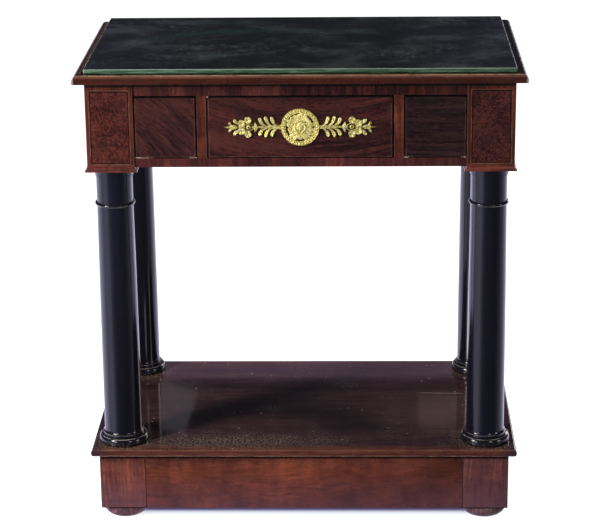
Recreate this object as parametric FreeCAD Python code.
import FreeCAD, Part
import math
import os

# Pier table with three frieze drawers, four turned columns, a low shelf on a plinth and bun feet.
# Millimetres. Origin on the floor, under the middle of the table; +X right, -Y front, +Z up.

Vector = FreeCAD.Vector
UP = Vector(0, 0, 1)
same_place = 0.01              # two places nearer than this are one

# ---- Driving dimensions -------------------------------------------------------------------------

# Top
top_width = 800.0
top_depth = 480.0
top_thickness = 15.0
top_overhang = 20.0            # front and sides, past the frieze
top_rear_overhang = 4.0
edge_moulding_width = 30.0
edge_nose_height = 5.5         # upright part of the nose
edge_nose_round = 1.5
edge_arris_inset = 9.5         # top arris back from the nose

# Glass plate
glass_thickness = 8.0
glass_side_inset = 19.0
glass_front_inset = 22.0
glass_rear_inset = 4.0
glass_corner_radius = 3.0
glass_edge_bevel = 0.8

# Small round on the exposed arrises of the blocks and drawer fronts
arris_round = 0.8

# Heights, from the floor up
foot_height = 24.0
plinth_height = 107.0
shelf_thickness = 15.0
column_height = 531.0
block_moulding_height = 12.0
block_height = 151.0

# Corner blocks, square on plan
block_size = 85.0
panel_inset = 8.0              # of the veneered panel, from the sides of its block face
panel_lower_margin = 3.0
panel_upper_margin = 16.0
panel_groove_width = 1.2
panel_groove_depth = 0.8
moulding_flare = 4.0
moulding_fillet = 3.0          # upright band at the foot of the flare

# Frieze rails
rail_setback = 2.5             # rail and drawer faces behind the block faces
rail_drop = 4.0                # bottom rail below the underside of the blocks
bottom_rail_height = 16.0
bottom_rail_depth = 60.0
top_rail_height = 25.0
top_rail_depth = 60.0
divider_width = 19.0
divider_depth = 24.0
centre_opening = 330.0
side_rail_thickness = 20.0
back_rail_thickness = 20.0

# Tenons and pins
tenon_length = 22.0
tenon_thickness = 8.0
tenon_shoulder = 4.0
flat_tenon_shoulder = 8.0      # of the top and bottom rails, front and rear
plinth_tenon_shoulder = 12.0
tenon_clearance = 0.2
pin_radius = 12.0
pin_depth = 25.0
pin_clearance = 0.2

# Drawer runners, kickers and guides
runner_width = 14.0
guide_thickness = 12.0
guide_height = 40.0
stop_height = 20.0
stop_length = 30.0             # from the back rail forward

# Drawers
drawer_front_thickness = 20.0
drawer_side_thickness = 10.0
drawer_back_thickness = 10.0
drawer_bottom_thickness = 6.0
drawer_side_gap = 0.8
drawer_top_gap = 1.4
drawer_bottom_gap = 0.3
drawer_side_drop = 3.0         # top of the sides below the top of the front
drawer_back_drop = 10.0        # top of the back below the top of the sides
drawer_stop_gap = 0.3
groove_depth = 5.0
groove_height = 8.0            # lower face of the groove above the lower edge
groove_clearance = 0.2
dovetail_count = 4
dovetail_length = 13.0
dovetail_flare = 2.2
dovetail_root_share = 0.52     # width of a tail at its root, as a share of its pitch

# Columns, by height above the shelf
column_shaft_foot_radius = 35.0
column_shaft_neck_radius = 32.8
column_entasis = 0.4
column_base_radius = 45.6
column_base_rim = 43.5
column_base_height = 15.4
column_fillet_radius = 38.3
column_fillet_height = 4.4
column_conge_height = 7.0
column_conge_hollow = 1.0      # depth of its hollow under the chord
column_ring_height = 463.5
column_ring_thickness = 6.6
column_ring_stand = 3.5
column_cap_height = 25.0
column_cap_fillet_radius = 35.3
column_cap_fillet_height = 5.0
column_echinus_radius = 41.0
column_echinus_bulge = 1.5     # stand of its swell over the chord
column_abacus_radius = 42.2
column_abacus_height = 8.0

# Shelf
shelf_overhang = 14.0
shelf_nose_round = 5.0
shelf_under_round = 8.0

# Plinth
plinth_rail_thickness = 22.0
plinth_rail_setback = 0.6

# Feet
foot_radius = 42.0
foot_bulge_height = 15.0
foot_top_radius = 38.0
foot_sole_radius = 25.0
foot_lower_bulge = 4.0         # stand of the swells over their chords
foot_upper_bulge = 0.9
foot_pin_radius = 9.0

# Glue blocks and screws
glue_block_section = 20.0
glue_block_length = 60.0
screw_radius = 2.2
screw_head_radius = 4.4
screw_head_height = 2.6
screw_bite = 8.0               # length of screw in the top
screw_setback = 45.0           # from the rail faces at the front, from the back rail at the rear

# Gilt mount on the centre drawer
mount_thickness = 2.6
roundel_radius = 33.8
roundel_band_width = 8.2
roundel_band_height = 4.6
roundel_relief_radius = 22.6
roundel_relief_height = 5.6
roundel_relief_shoulder = 4.6  # height of the relief half way out
roundel_bridge_count = 8
roundel_bridge_width = 5.0
spray_stem_width = 4.6
spray_stem_taper = 0.45        # width at the star, as a share of the width at the roundel
spray_leaf_width = 5.0
spray_leaf_lean = 3.2
leaf_root_share = 0.75
spray_leaves = [               # base, tip and reach of each pair, from the roundel outwards
    (45.0, 50.5, 17.4),
    (54.5, 61.0, 17.8),
    (63.5, 71.5, 14.8),
]
spray_star_place = 79.9
spray_star_height = 18.8
spray_star_width = 9.0
star_hollow_share = 0.09
spray_ring_place = 91.0
spray_ring_radius = 4.8
spray_ring_bore = 2.0
spray_flower_reach = 12.7
spray_flower_shift = 1.5
spray_rosette_radius = 6.3
spray_rosette_height = 4.2
flower_petals = 5
flower_petal_share = 0.42
flower_boss_share = 0.5
spray_cluster_place = 103.9
spray_cluster_reach = 6.9
spray_cluster_radius = 6.8
spray_end_leaf = (112.0, 117.0, 12.0)
spray_end_leaf_width = 4.0
spray_end_leaf_lean = 1.4
spray_bud_swell = 1.5
spray_trefoil_length = 10.5
spray_trefoil_height = 18.0
spray_point_share = 0.12
spray_tip_place = 134.7
mount_pin_radius = 0.9
mount_pin_length = 12.0
mount_pin_head_radius = 1.7
mount_pin_head_height = 0.9

# ---- Levels and planes worked out from the driving dimensions ------------------------------------

plinth_bottom = foot_height
shelf_bottom = plinth_bottom + plinth_height
shelf_top = shelf_bottom + shelf_thickness
column_top = shelf_top + column_height
block_bottom = column_top + block_moulding_height
frieze_top = block_bottom + block_height
top_surface = frieze_top + top_thickness

front_y = -top_depth / 2 + top_overhang
rear_y = top_depth / 2 - top_rear_overhang
side_x = top_width / 2 - top_overhang
block_inner_x = side_x - block_size
front_block_rear_y = front_y + block_size
rear_block_front_y = rear_y - block_size

rail_face_y = front_y + rail_setback
rail_bottom = block_bottom - rail_drop
opening_bottom = rail_bottom + bottom_rail_height
opening_top = frieze_top - top_rail_height
divider_inner_x = centre_opening / 2
divider_outer_x = divider_inner_x + divider_width
back_rail_front_y = rear_y - rail_setback - back_rail_thickness
bottom_rail_rear_y = rail_face_y + bottom_rail_depth
top_rail_rear_y = rail_face_y + top_rail_depth
stop_front_y = back_rail_front_y - stop_length
drawer_rear_y = stop_front_y - drawer_stop_gap

# Each corner: side (-1 left, +1 right) and the plan centre of its block.
corners = {
    "front_left": (-1, front_y + block_size / 2),
    "front_right": (1, front_y + block_size / 2),
    "rear_left": (-1, rear_y - block_size / 2),
    "rear_right": (1, rear_y - block_size / 2),
}
block_centre_x = side_x - block_size / 2

sides = {"left": -1, "right": 1}


# ---- Small helpers -------------------------------------------------------------------------------

def save(name, shape):
    shape.exportStep("parts/" + name + ".step")


def box(x0, x1, y0, y1, z0, z1):
    """A box between two corners; the x limits may be given in either order."""
    low_x = min(x0, x1)
    return Part.makeBox(abs(x1 - x0), y1 - y0, z1 - z0, Vector(low_x, y0, z0))


def line(a, b):
    return Part.makeLine(a, b)


def arc(a, middle, b):
    return Part.Arc(a, middle, b).toShape()


def face(edges):
    return Part.Face(Part.Wire(Part.__sortEdges__(edges)))


def polygon(points):
    return Part.Face(Part.makePolygon(points + [points[0]]))


def bowed(a, b, bow):
    """An arc from a to b that stands off its chord by bow, to the left of the way from a to b."""
    chord = b - a
    plane_normal = Vector(0, 1, 0)
    off = plane_normal.cross(chord).normalize()
    return arc(a, (a + b) * 0.5 + off * bow, b)


def cylinder(radius, height, base, direction=UP):
    return Part.makeCylinder(radius, height, base, direction)


def level_with(edge, axis, place):
    """Whether an edge lies wholly in the plane where the named axis has this value."""
    limits = edge.BoundBox
    low = getattr(limits, axis + "Min")
    high = getattr(limits, axis + "Max")
    return abs(low - place) < same_place and abs(high - place) < same_place


def upright_edges(shape):
    return [e for e in shape.Edges if abs(e.tangentAt(e.FirstParameter).z) > 0.5]


def fuse_all(shapes):
    return shapes[0].multiFuse(shapes[1:]).removeSplitter()


# ---- Top and glass -------------------------------------------------------------------------------

def edge_profile(nose, inward, width):
    """Section of the edge moulding. nose is the lowest outer point and inward points to the table."""
    def at(inset, height):
        return nose + inward * inset + UP * height

    lean = edge_arris_inset * (1 - math.sqrt(0.5))
    rise = edge_nose_height + (top_thickness - edge_nose_height) * math.sqrt(0.5)
    under_lean = edge_nose_round * (1 - math.sqrt(0.5))
    return face([
        arc(at(edge_nose_round, 0), at(under_lean, under_lean), at(0, edge_nose_round)),
        line(at(0, edge_nose_round), at(0, edge_nose_height)),
        arc(at(0, edge_nose_height), at(lean, rise), at(edge_arris_inset, top_thickness)),
        line(at(edge_arris_inset, top_thickness), at(width, top_thickness)),
        line(at(width, top_thickness), at(width, 0)),
        line(at(width, 0), at(edge_nose_round, 0)),
    ])


def make_top():
    half_width = top_width / 2
    front_edge = -top_depth / 2
    rear_edge = top_depth / 2
    inner_x = half_width - edge_moulding_width
    inner_y = front_edge + edge_moulding_width

    panel = box(-inner_x, inner_x, inner_y, rear_edge, frieze_top, top_surface)
    for x, y in screw_places():
        panel = panel.cut(cylinder(screw_radius, screw_bite, Vector(x, y, frieze_top)))
    save("top_panel", panel)

    front = edge_profile(Vector(-half_width, front_edge, frieze_top), Vector(0, 1, 0), edge_moulding_width)
    front = front.extrude(Vector(top_width, 0, 0))
    mitred_plan = polygon([
        Vector(-half_width, front_edge, frieze_top),
        Vector(half_width, front_edge, frieze_top),
        Vector(inner_x, inner_y, frieze_top),
        Vector(-inner_x, inner_y, frieze_top),
    ])
    save("top_edge_front", front.common(mitred_plan.extrude(UP * top_thickness)))

    for name, side in sides.items():
        nose = Vector(side * half_width, front_edge, frieze_top)
        strip = edge_profile(nose, Vector(-side, 0, 0), edge_moulding_width)
        strip = strip.extrude(Vector(0, top_depth, 0))
        plan = polygon([
            nose,
            Vector(side * inner_x, inner_y, frieze_top),
            Vector(side * inner_x, rear_edge, frieze_top),
            Vector(side * half_width, rear_edge, frieze_top),
        ])
        save("top_edge_" + name, strip.common(plan.extrude(UP * top_thickness)))


def make_glass():
    half = top_width / 2 - glass_side_inset
    y0 = -top_depth / 2 + glass_front_inset
    y1 = top_depth / 2 - glass_rear_inset
    pane = box(-half, half, y0, y1, top_surface, top_surface + glass_thickness)
    pane = pane.makeFillet(glass_corner_radius, upright_edges(pane))
    rims = [e for e in pane.Edges if e.BoundBox.ZLength < same_place]
    save("glass_plate", pane.makeChamfer(glass_edge_bevel, rims))


# ---- Corner blocks and their mouldings -----------------------------------------------------------

def tenon(x0, x1, y0, y1, z0, z1, grow):
    """A tenon, or with grow its mortise."""
    return box(x0, x1, y0 - grow, y1 + grow, z0 - grow, z1 + grow)


def front_tenons(side, grow):
    """Flat tenons of the top and bottom rails in the front block of one side."""
    inner = side * block_inner_x
    outer = side * (block_inner_x + tenon_length + grow)
    y0 = rail_face_y + flat_tenon_shoulder
    tenons = {}
    for name, low, high, rear in (("bottom", block_bottom, opening_bottom, bottom_rail_rear_y),
                                  ("top", opening_top, frieze_top, top_rail_rear_y)):
        z0 = (low + high - tenon_thickness) / 2
        y1 = rear - flat_tenon_shoulder
        tenons[name] = tenon(inner, outer, y0, y1, z0, z0 + tenon_thickness, grow)
    return tenons


def back_tenon(side, grow):
    """Tenon of the back rail in the rear block of one side."""
    inner = side * block_inner_x
    outer = side * (block_inner_x + tenon_length + grow)
    middle = back_rail_front_y + back_rail_thickness / 2
    y0 = middle - tenon_thickness / 2
    z0 = block_bottom + tenon_shoulder
    return tenon(inner, outer, y0, y0 + tenon_thickness, z0, frieze_top - tenon_shoulder, grow)


def end_tenons(middle, z0, z1, grow):
    """Tenons of a rail that runs from the front block to the rear block at x = middle."""
    low_x = middle - tenon_thickness / 2 - grow
    high_x = middle + tenon_thickness / 2 + grow
    reach = tenon_length + grow
    front = box(low_x, high_x, front_block_rear_y - reach, front_block_rear_y, z0 - grow, z1 + grow)
    rear = box(low_x, high_x, rear_block_front_y, rear_block_front_y + reach, z0 - grow, z1 + grow)
    return {"front": front, "rear": rear}


def side_tenons(side, grow):
    middle = side * (side_x - rail_setback - side_rail_thickness / 2)
    return end_tenons(middle, block_bottom + tenon_shoulder, frieze_top - tenon_shoulder, grow)


def panel_groove(x, y, out):
    """The groove round the veneered panel on the face of a block that out points from."""
    across = UP.cross(out)
    groove_floor = Vector(x, y, 0) + out * (block_size / 2 - panel_groove_depth)

    def rim(shrink):
        reach = block_size / 2 - panel_inset - shrink
        low = block_bottom + panel_lower_margin + shrink
        high = frieze_top - panel_upper_margin - shrink
        return polygon([
            groove_floor - across * reach + UP * low,
            groove_floor + across * reach + UP * low,
            groove_floor + across * reach + UP * high,
            groove_floor - across * reach + UP * high,
        ])

    return rim(0).cut(rim(panel_groove_width)).extrude(out * panel_groove_depth)


def make_corner_blocks():
    half = block_size / 2
    for name, (side, y) in corners.items():
        x = side * block_centre_x
        block = box(x - half, x + half, y - half, y + half, block_bottom, frieze_top)
        block = block.makeFillet(arris_round, upright_edges(block))
        pin_hole = cylinder(pin_radius + pin_clearance, pin_depth + pin_clearance, Vector(x, y, block_bottom))
        block = block.cut(pin_hole)
        end = name.split("_")[0]
        block = block.cut(side_tenons(side, tenon_clearance)[end])
        block = block.cut(panel_groove(x, y, Vector(side, 0, 0)))
        if end == "front":
            block = block.cut(panel_groove(x, y, Vector(0, -1, 0)))
            for mortise in front_tenons(side, tenon_clearance).values():
                block = block.cut(mortise)
        else:
            block = block.cut(back_tenon(side, tenon_clearance))
        save("corner_block_" + name, block)


def moulding_outline(axis, half, length):
    """Side view of the moulded plate under a block, drawn across axis and extruded by length."""
    foot = half + moulding_flare

    def at(out, height):
        return axis * out + UP * height

    start = axis.cross(UP) * (-length / 2)
    sink = moulding_flare * (1 - math.sqrt(0.5))
    hollow_height = block_moulding_height - moulding_fillet
    lift = moulding_fillet + hollow_height * (1 - math.sqrt(0.5))
    edges = [
        line(at(-foot, 0), at(foot, 0)),
        line(at(foot, 0), at(foot, moulding_fillet)),
        arc(at(foot, moulding_fillet), at(half + sink, lift), at(half, block_moulding_height)),
        line(at(half, block_moulding_height), at(-half, block_moulding_height)),
        arc(at(-half, block_moulding_height), at(-half - sink, lift), at(-foot, moulding_fillet)),
        line(at(-foot, moulding_fillet), at(-foot, 0)),
    ]
    section = face(edges)
    section.translate(start)
    return section.extrude(axis.cross(UP) * length)


def rail_envelopes():
    """Space that the rails, runners and guides take beside the block mouldings, with clearance."""
    gap = tenon_clearance
    low = rail_bottom - gap
    high = opening_bottom
    front = box(-block_inner_x, block_inner_x, rail_face_y - gap, bottom_rail_rear_y + gap, low, high)
    rear_y0 = back_rail_front_y - gap
    rear = box(-block_inner_x, block_inner_x, rear_y0, rear_y0 + back_rail_thickness + 2 * gap, low, high)
    envelopes = [front, rear]
    for side in sides.values():
        outer = side * (side_x - rail_setback + gap)
        inner = side * (side_x - rail_setback - side_rail_thickness - gap)
        envelopes.append(box(outer, inner, front_block_rear_y, rear_block_front_y, low, high))
        runner_inner = side * (block_inner_x - runner_width - gap)
        runner_y1 = back_rail_front_y
        envelopes.append(box(side * block_inner_x, runner_inner, bottom_rail_rear_y, runner_y1, low, high))
        guide_outer = side * (block_inner_x + guide_thickness + gap)
        envelopes.append(box(side * block_inner_x, guide_outer, front_block_rear_y, rear_block_front_y,
                             low, high))
    return envelopes


def make_block_mouldings():
    half = block_size / 2
    length = block_size + 2 * moulding_flare
    across_x = moulding_outline(Vector(1, 0, 0), half, length)
    across_y = moulding_outline(Vector(0, 1, 0), half, length)
    pattern = across_x.common(across_y)
    pattern = pattern.cut(cylinder(pin_radius + pin_clearance, block_moulding_height, Vector(0, 0, 0)))
    wall_side = box(-top_width / 2, top_width / 2, rear_y, top_depth, column_top, block_bottom)
    mouldings = []
    for side, y in corners.values():
        placed = pattern.translated(Vector(side * block_centre_x, y, column_top))
        for envelope in rail_envelopes():
            placed = placed.cut(envelope)
        mouldings.append(placed.cut(wall_side))
    save("block_mouldings", Part.makeCompound(mouldings))


# ---- Frieze --------------------------------------------------------------------------------------

def screw_places():
    """Plan places of the screws that hold the top: three in the top rail, two in the middle kickers."""
    rail_y = rail_face_y + screw_setback
    kicker_x = divider_inner_x + divider_width / 2
    kicker_y = back_rail_front_y - screw_setback
    return [(-kicker_x, rail_y), (0, rail_y), (kicker_x, rail_y), (-kicker_x, kicker_y), (kicker_x, kicker_y)]


def screw(x, y):
    """A countersunk screw, driven up through a rail as deep as the top rail."""
    head = Part.makeCone(screw_head_radius, screw_radius, screw_head_height, Vector(x, y, opening_top))
    shank = cylinder(screw_radius, top_rail_height + screw_bite, Vector(x, y, opening_top))
    return head.fuse(shank).removeSplitter()


def bore_for_screws(rail):
    for x, y in screw_places():
        rail = rail.cut(screw(x, y))
    return rail


def make_frieze():
    inner = block_inner_x

    bottom_rail = box(-inner, inner, rail_face_y, bottom_rail_rear_y, rail_bottom, opening_bottom)
    top_rail = box(-inner, inner, rail_face_y, top_rail_rear_y, opening_top, frieze_top)
    back_rail = box(-inner, inner, back_rail_front_y, back_rail_front_y + back_rail_thickness,
                    rail_bottom, frieze_top)
    for side in sides.values():
        tenons = front_tenons(side, 0)
        bottom_rail = bottom_rail.fuse(tenons["bottom"])
        top_rail = top_rail.fuse(tenons["top"])
        back_rail = back_rail.fuse(back_tenon(side, 0))
    save("frieze_bottom_rail", bottom_rail.removeSplitter())
    save("frieze_top_rail", bore_for_screws(top_rail.removeSplitter()))
    save("back_rail", back_rail.removeSplitter())

    for name, side in sides.items():
        outer = side * (side_x - rail_setback)
        rail = box(outer, outer - side * side_rail_thickness, front_block_rear_y, rear_block_front_y,
                   rail_bottom, frieze_top)
        tenons = side_tenons(side, 0)
        save("side_rail_" + name, rail.fuse(tenons["front"]).fuse(tenons["rear"]).removeSplitter())

        divider = box(side * divider_inner_x, side * divider_outer_x, rail_face_y,
                      rail_face_y + divider_depth, opening_bottom, opening_top)
        save("divider_" + name, divider)


def runner_spans():
    """X limits of the runners and kickers: one at each block, one under each partition."""
    spans = []
    for side in sides.values():
        spans.append((side * block_inner_x, side * (block_inner_x - runner_width)))
        spans.append((side * (divider_inner_x - runner_width), side * (divider_outer_x + runner_width)))
    return spans


def make_drawer_carriers():
    runners = []
    kickers = []
    for x0, x1 in runner_spans():
        runners.append(box(x0, x1, bottom_rail_rear_y, back_rail_front_y, rail_bottom, opening_bottom))
        kickers.append(box(x0, x1, top_rail_rear_y, back_rail_front_y, opening_top, frieze_top))
    save("drawer_runners", Part.makeCompound(runners))
    save("drawer_kickers", bore_for_screws(Part.makeCompound(kickers)))

    partitions = []
    guides = []
    for side in sides.values():
        partitions.append(box(side * divider_inner_x, side * divider_outer_x, rail_face_y + divider_depth,
                              back_rail_front_y, opening_bottom, opening_top))
        guides.append(box(side * block_inner_x, side * (block_inner_x + guide_thickness), front_block_rear_y,
                          rear_block_front_y, rail_bottom, rail_bottom + guide_height))
    save("drawer_partitions", Part.makeCompound(partitions))
    save("drawer_guides", Part.makeCompound(guides))

    stops = []
    for x0, x1 in drawer_openings().values():
        for x, inward in ((x0, 1), (x1, -1)):
            stops.append(box(x, x + inward * runner_width, stop_front_y, back_rail_front_y,
                             opening_bottom, opening_bottom + stop_height))
    save("drawer_stops", Part.makeCompound(stops))


# ---- Drawers -------------------------------------------------------------------------------------

def drawer_openings():
    """X limits of the three openings in the frieze."""
    return {
        "left": (-block_inner_x, -divider_outer_x),
        "centre": (-divider_inner_x, divider_inner_x),
        "right": (divider_outer_x, block_inner_x),
    }


def dovetails(x0, x1, root_y, z0, z1):
    """Tails on the front end of a drawer side, drawn on the face of the side."""
    pitch = (z1 - z0) / dovetail_count
    root = pitch * dovetail_root_share / 2
    tip = root + dovetail_flare
    tails = []
    for i in range(dovetail_count):
        middle = z0 + pitch * (i + 0.5)
        tail = polygon([
            Vector(x0, root_y, middle - root),
            Vector(x0, root_y, middle + root),
            Vector(x0, root_y - dovetail_length, middle + tip),
            Vector(x0, root_y - dovetail_length, middle - tip),
        ])
        tails.append(tail.extrude(Vector(x1 - x0, 0, 0)))
    return tails


def make_drawer(name, x0, x1):
    left = x0 + drawer_side_gap
    right = x1 - drawer_side_gap
    low = opening_bottom + drawer_bottom_gap
    high = opening_top - drawer_top_gap
    side_high = high - drawer_side_drop
    face_rear_y = rail_face_y + drawer_front_thickness
    inner_left = left + drawer_side_thickness
    inner_right = right - drawer_side_thickness
    bottom_low = low + groove_height
    bottom_high = bottom_low + drawer_bottom_thickness
    back_front_y = drawer_rear_y - drawer_back_thickness
    panel_left = inner_left - groove_depth + groove_clearance
    panel_right = inner_right + groove_depth - groove_clearance
    panel_front_y = face_rear_y - groove_depth + groove_clearance

    groove = box(inner_left - groove_depth, inner_right + groove_depth, face_rear_y - groove_depth,
                 drawer_rear_y, bottom_low, bottom_high + groove_clearance)
    bottom = box(panel_left, panel_right, panel_front_y, drawer_rear_y, bottom_low, bottom_high)
    front = box(left, right, rail_face_y, face_rear_y, low, high)
    front = front.makeFillet(arris_round, [e for e in front.Edges if level_with(e, "Y", rail_face_y)])
    front = front.cut(groove)

    for side_name, a, b in (("left", left, inner_left), ("right", right, inner_right)):
        tails = dovetails(a, b, face_rear_y, low, side_high)
        board = box(a, b, face_rear_y, drawer_rear_y, low, side_high)
        board = fuse_all([board] + tails).cut(groove)
        for tail in tails:
            front = front.cut(tail)
        save("drawer_" + name + "_side_" + side_name, board)

    back = box(inner_left, inner_right, back_front_y, drawer_rear_y, bottom_high + groove_clearance,
               side_high - drawer_back_drop)
    save("drawer_" + name + "_back", back)
    save("drawer_" + name + "_bottom", bottom)
    if name == "centre":
        for pin in mount_pins():
            front = front.cut(pin)
    save("drawer_" + name + "_front", front)


# ---- Gilt mount ----------------------------------------------------------------------------------

mount_centre = Vector(0, rail_face_y, (opening_bottom + opening_top) / 2)
FORWARD = Vector(0, -1, 0)


def on_mount(x, z):
    """A point on the drawer face, measured from the middle of the mount."""
    return mount_centre + Vector(x, 0, z)


def plate(outline):
    return outline.extrude(FORWARD * mount_thickness)


def disc(x, z, radius, height):
    return cylinder(radius, height, on_mount(x, z), FORWARD)


def leaf(base_x, tip_x, tip_z, width, lean):
    """A leaf that leaves the stem and curls away from it, widening to a round tip."""
    turn = math.copysign(1, tip_z)
    outer_base = on_mount(base_x, 0)
    inner_base = on_mount(base_x - width * leaf_root_share, 0)
    outer_tip = on_mount(tip_x + width / 2, tip_z)
    inner_tip = on_mount(tip_x - width / 2, tip_z)
    return plate(face([
        bowed(outer_base, outer_tip, turn * lean),
        arc(outer_tip, on_mount(tip_x, tip_z + turn * width / 2), inner_tip),
        bowed(inner_base, inner_tip, turn * lean),
        line(inner_base, outer_base),
    ]))


def star(x, height, width):
    """A four-pointed leaf star with hollow sides."""
    top = on_mount(x, height / 2)
    foot = on_mount(x, -height / 2)
    near = on_mount(x - width / 2, 0)
    far = on_mount(x + width / 2, 0)
    hollow = width * star_hollow_share
    return plate(face([
        bowed(top, far, hollow),
        bowed(far, foot, hollow),
        bowed(foot, near, hollow),
        bowed(near, top, hollow),
    ]))


def flower(x, z, radius):
    """A rosette of petals round a raised boss."""
    shapes = [disc(x, z, radius * flower_boss_share, spray_rosette_height)]
    for i in range(flower_petals):
        angle = math.radians(90 + 360 * i / flower_petals)
        reach = radius * (1 - flower_petal_share)
        shapes.append(disc(x + reach * math.cos(angle), z + reach * math.sin(angle),
                           radius * flower_petal_share, mount_thickness))
    return shapes


def strap(x0, z0, half0, x1, z1, half1):
    """A flat bar between two points of the mount, of half width half0 at one end and half1 at the other."""
    return plate(polygon([
        on_mount(x0, z0 - half0),
        on_mount(x0, z0 + half0),
        on_mount(x1, z1 + half1),
        on_mount(x1, z1 - half1),
    ]))


def right_spray():
    """The right-hand spray: stem, leaves, star, pierced ring, flowers and a trefoil tip."""
    half = spray_stem_width / 2
    narrow = half * spray_stem_taper
    bud_x = spray_tip_place - spray_trefoil_length
    pieces = [
        strap(roundel_radius - half, 0, half, spray_star_place, 0, narrow),
        star(spray_star_place, spray_star_height, spray_star_width),
        strap(spray_star_place, 0, narrow, spray_cluster_place, 0, narrow),
        disc(spray_ring_place, 0, spray_ring_radius, mount_thickness),
        strap(spray_cluster_place, 0, narrow, bud_x, 0, half * spray_bud_swell),
        star(bud_x, spray_trefoil_height, spray_star_width),
        strap(bud_x, 0, half, spray_tip_place, 0, half * spray_point_share),
    ]
    for turn in (1, -1):
        for base_x, tip_x, tip_z in spray_leaves:
            pieces.append(leaf(base_x, tip_x, turn * tip_z, spray_leaf_width, spray_leaf_lean))
        far = turn * spray_flower_reach
        pieces.append(strap(spray_star_place, 0, narrow, spray_ring_place, far, narrow))
        pieces.extend(flower(spray_ring_place + spray_flower_shift, far, spray_rosette_radius))
        pieces.extend(flower(spray_cluster_place, turn * spray_cluster_reach, spray_cluster_radius))
        base_x, tip_x, tip_z = spray_end_leaf
        pieces.append(leaf(base_x, tip_x, turn * tip_z, spray_end_leaf_width, spray_end_leaf_lean))
    holes = [disc(spray_ring_place, 0, spray_ring_bore, mount_thickness)]
    holes.append(disc(0, 0, roundel_radius, mount_thickness))
    return fuse_all(pieces).cut(holes)


def make_roundel():
    """A moulded ring joined by bridges to a raised centre, pierced between them."""
    inner = roundel_radius - roundel_band_width
    crown = (roundel_radius + inner) / 2
    half_way = roundel_relief_radius / 2

    def at(radius, height):
        return mount_centre + Vector(radius, -height, 0)

    band = face([
        line(at(inner, 0), at(roundel_radius, 0)),
        line(at(roundel_radius, 0), at(roundel_radius, mount_thickness)),
        arc(at(roundel_radius, mount_thickness), at(crown, roundel_band_height), at(inner, mount_thickness)),
        line(at(inner, mount_thickness), at(inner, 0)),
    ])
    relief = face([
        line(at(0, 0), at(roundel_relief_radius, 0)),
        line(at(roundel_relief_radius, 0), at(roundel_relief_radius, mount_thickness)),
        arc(at(roundel_relief_radius, mount_thickness), at(half_way, roundel_relief_shoulder),
            at(0, roundel_relief_height)),
        line(at(0, roundel_relief_height), at(0, 0)),
    ])
    pieces = [part.revolve(mount_centre, Vector(0, 1, 0), 360) for part in (band, relief)]
    for i in range(roundel_bridge_count):
        bridge = strap(half_way, 0, roundel_bridge_width / 2, crown, 0, roundel_bridge_width / 2)
        bridge.rotate(mount_centre, Vector(0, 1, 0), 360 * (i + 0.5) / roundel_bridge_count)
        pieces.append(bridge)
    return fuse_all(pieces)


def mount_pin_places():
    """Places of the pins: through the band of the roundel and through the sprays."""
    crown = roundel_radius - roundel_band_width / 2
    spray = [spray_star_place, spray_tip_place - spray_trefoil_length]
    places = [(0, crown), (0, -crown)]
    for side in sides.values():
        places.extend([(side * x, 0) for x in spray])
    return places


def mount_pins():
    pins = []
    for x, z in mount_pin_places():
        on_band = x == 0
        stand = roundel_band_height if on_band else mount_thickness
        foot = on_mount(x, z) + FORWARD * stand
        shank = cylinder(mount_pin_radius, mount_pin_length, foot, Vector(0, 1, 0))
        head = Part.makeCone(mount_pin_head_radius, mount_pin_radius, mount_pin_head_height, foot, FORWARD)
        pins.append(shank.fuse(head).removeSplitter())
    return pins


def make_mount():
    right = right_spray()
    left = right.mirror(Vector(0, 0, 0), Vector(1, 0, 0))
    roundel = make_roundel()
    for pin in mount_pins():
        right = right.cut(pin)
        left = left.cut(pin)
        roundel = roundel.cut(pin)
    save("gilt_spray_right", right)
    save("gilt_spray_left", left)
    save("gilt_roundel", roundel)
    save("mount_pins", Part.makeCompound(mount_pins()))


# ---- Columns -------------------------------------------------------------------------------------

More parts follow.
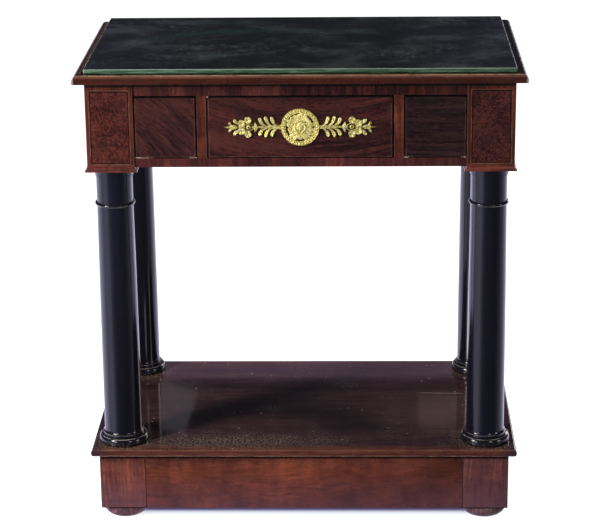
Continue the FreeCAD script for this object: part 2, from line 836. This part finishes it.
def column_solid():
    """A turned column on the z axis with its foot at zero, and a pin at each end."""
    def at(radius, height):
        return Vector(radius, 0, height)

    fillet_top = column_base_height + column_fillet_height
    shaft_foot = fillet_top + column_conge_height
    ring_low = column_ring_height - column_ring_thickness / 2
    ring_high = column_ring_height + column_ring_thickness / 2
    neck_top = column_height - column_cap_height
    fillet_high = neck_top + column_cap_fillet_height
    abacus_low = column_height - column_abacus_height
    foot_r = column_shaft_foot_radius
    neck_r = column_shaft_neck_radius
    middle_r = (foot_r + neck_r) / 2 + column_entasis
    middle_z = (shaft_foot + ring_low) / 2
    pin_foot = -(shelf_thickness + pin_depth)
    pin_top = column_height + block_moulding_height + pin_depth
    edges = [
        line(at(0, pin_foot), at(pin_radius, pin_foot)),
        line(at(pin_radius, pin_foot), at(pin_radius, 0)),
        line(at(pin_radius, 0), at(column_base_rim, 0)),
        arc(at(column_base_rim, 0), at(column_base_radius, column_base_height / 2),
            at(column_base_rim, column_base_height)),
        line(at(column_base_rim, column_base_height), at(column_fillet_radius, column_base_height)),
        line(at(column_fillet_radius, column_base_height), at(column_fillet_radius, fillet_top)),
        bowed(at(column_fillet_radius, fillet_top), at(foot_r, shaft_foot), -column_conge_hollow),
        arc(at(foot_r, shaft_foot), at(middle_r, middle_z), at(neck_r, ring_low)),
        arc(at(neck_r, ring_low), at(neck_r + column_ring_stand, column_ring_height), at(neck_r, ring_high)),
        line(at(neck_r, ring_high), at(neck_r, neck_top)),
        line(at(neck_r, neck_top), at(column_cap_fillet_radius, neck_top)),
        line(at(column_cap_fillet_radius, neck_top), at(column_cap_fillet_radius, fillet_high)),
        bowed(at(column_cap_fillet_radius, fillet_high), at(column_echinus_radius, abacus_low),
              column_echinus_bulge),
        line(at(column_echinus_radius, abacus_low), at(column_abacus_radius, abacus_low)),
        line(at(column_abacus_radius, abacus_low), at(column_abacus_radius, column_height)),
        line(at(column_abacus_radius, column_height), at(pin_radius, column_height)),
        line(at(pin_radius, column_height), at(pin_radius, pin_top)),
        line(at(pin_radius, pin_top), at(0, pin_top)),
        line(at(0, pin_top), at(0, pin_foot)),
    ]
    return face(edges).revolve(Vector(0, 0, 0), UP, 360)


def make_columns():
    column = column_solid()
    for name, (side, y) in corners.items():
        save("column_" + name, column.translated(Vector(side * block_centre_x, y, shelf_top)))


# ---- Shelf and plinth ----------------------------------------------------------------------------

def column_pin_holes(low, height):
    return [cylinder(pin_radius + pin_clearance, height, Vector(side * block_centre_x, y, low))
            for side, y in corners.values()]


def make_shelf():
    half = side_x + shelf_overhang
    y0 = front_y - shelf_overhang
    board = box(-half, half, y0, rear_y, shelf_bottom, shelf_top)

    def nose_edges(shape, level):
        """Edges of the shelf at one level, without the rear one."""
        return [e for e in shape.Edges if level_with(e, "Z", level) and not level_with(e, "Y", rear_y)]

    board = board.makeFillet(shelf_nose_round, nose_edges(board, shelf_top))
    board = board.makeFillet(shelf_under_round, nose_edges(board, shelf_bottom))
    for hole in column_pin_holes(shelf_bottom, shelf_thickness):
        board = board.cut(hole)
    save("shelf_board", board)


def plinth_side_tenons(side, grow):
    middle = side * (side_x - plinth_rail_setback - plinth_rail_thickness / 2)
    z0 = plinth_bottom + plinth_tenon_shoulder
    return end_tenons(middle, z0, shelf_bottom - plinth_tenon_shoulder, grow)


def plinth_end_tenon(side, end, grow):
    inset = plinth_rail_setback + plinth_rail_thickness / 2
    middle = front_y + inset if end == "front" else rear_y - inset
    inner = side * block_inner_x
    outer = side * (block_inner_x + tenon_length + grow)
    y0 = middle - tenon_thickness / 2
    z0 = plinth_bottom + plinth_tenon_shoulder
    z1 = shelf_bottom - plinth_tenon_shoulder
    return tenon(inner, outer, y0, y0 + tenon_thickness, z0, z1, grow)


def make_plinth():
    half = block_size / 2
    for name, (side, y) in corners.items():
        x = side * block_centre_x
        end = name.split("_")[0]
        block = box(x - half, x + half, y - half, y + half, plinth_bottom, shelf_bottom)
        block = block.makeFillet(arris_round, upright_edges(block))
        hole_depth = pin_depth + pin_clearance
        column_hole_foot = Vector(x, y, shelf_bottom - hole_depth)
        block = block.cut(cylinder(pin_radius + pin_clearance, hole_depth, column_hole_foot))
        block = block.cut(cylinder(foot_pin_radius + pin_clearance, hole_depth, Vector(x, y, plinth_bottom)))
        block = block.cut(plinth_side_tenons(side, tenon_clearance)[end])
        block = block.cut(plinth_end_tenon(side, end, tenon_clearance))
        save("plinth_block_" + name, block)

    for end in ("front", "rear"):
        y0 = front_y + plinth_rail_setback
        if end == "rear":
            y0 = rear_y - plinth_rail_setback - plinth_rail_thickness
        rail = box(-block_inner_x, block_inner_x, y0, y0 + plinth_rail_thickness, plinth_bottom, shelf_bottom)
        for side in sides.values():
            rail = rail.fuse(plinth_end_tenon(side, end, 0))
        save("plinth_" + end + "_rail", rail.removeSplitter())

    for name, side in sides.items():
        outer = side * (side_x - plinth_rail_setback)
        rail = box(outer, outer - side * plinth_rail_thickness, front_block_rear_y, rear_block_front_y,
                   plinth_bottom, shelf_bottom)
        tenons = plinth_side_tenons(side, 0)
        rail = rail.fuse(tenons["front"]).fuse(tenons["rear"])
        save("plinth_side_rail_" + name, rail.removeSplitter())


def foot_solid():
    """A turned bun foot under the point (0, 0, foot_height), with its pin."""
    def at(radius, height):
        return Vector(radius, 0, height)

    pin_top = foot_height + pin_depth
    edges = [
        line(at(0, 0), at(foot_sole_radius, 0)),
        bowed(at(foot_sole_radius, 0), at(foot_radius, foot_bulge_height), foot_lower_bulge),
        bowed(at(foot_radius, foot_bulge_height), at(foot_top_radius, foot_height), foot_upper_bulge),
        line(at(foot_top_radius, foot_height), at(foot_pin_radius, foot_height)),
        line(at(foot_pin_radius, foot_height), at(foot_pin_radius, pin_top)),
        line(at(foot_pin_radius, pin_top), at(0, pin_top)),
        line(at(0, pin_top), at(0, 0)),
    ]
    return face(edges).revolve(Vector(0, 0, 0), UP, 360)


def make_feet():
    foot = foot_solid()
    for name, (side, y) in corners.items():
        save("bun_foot_" + name, foot.translated(Vector(side * block_centre_x, y, 0)))


# ---- Glue blocks and screws ----------------------------------------------------------------------

def glue_block(corner, along, out):
    """A three-sided block under a board, in the corner of a rail; out points away from the rail."""
    start = corner - along * (glue_block_length / 2)
    section = polygon([start, start + out * glue_block_section, start - UP * glue_block_section])
    return section.extrude(along * glue_block_length)


def make_glue_blocks():
    blocks = []
    along_x = Vector(1, 0, 0)
    along_y = Vector(0, 1, 0)
    quarter = block_inner_x / 2
    front_face = front_y + plinth_rail_setback + plinth_rail_thickness
    rear_face = rear_y - plinth_rail_setback - plinth_rail_thickness
    for x in (-quarter, 0, quarter):
        blocks.append(glue_block(Vector(x, front_face, shelf_bottom), along_x, along_y))
        blocks.append(glue_block(Vector(x, rear_face, shelf_bottom), along_x, along_y * -1))
    middle_y = (front_block_rear_y + rear_block_front_y) / 2
    for side in sides.values():
        plinth_face = side * (side_x - plinth_rail_setback - plinth_rail_thickness)
        frieze_face = side * (side_x - rail_setback - side_rail_thickness)
        inward = Vector(-side, 0, 0)
        blocks.append(glue_block(Vector(plinth_face, middle_y, shelf_bottom), along_y, inward))
        for shift in (-1, 1):
            corner = Vector(frieze_face, middle_y + shift * glue_block_length, frieze_top)
            blocks.append(glue_block(corner, along_y, inward))
    save("glue_blocks", Part.makeCompound(blocks))


def make_screws():
    save("top_screws", Part.makeCompound([screw(x, y) for x, y in screw_places()]))


# ---- Build ---------------------------------------------------------------------------------------

os.makedirs("parts", exist_ok=True)
make_top()
make_glass()
make_corner_blocks()
make_block_mouldings()
make_frieze()
make_drawer_carriers()
for drawer_name, (left_x, right_x) in drawer_openings().items():
    make_drawer(drawer_name, left_x, right_x)
make_mount()
make_columns()
make_shelf()
make_plinth()
make_feet()
make_glue_blocks()
make_screws()
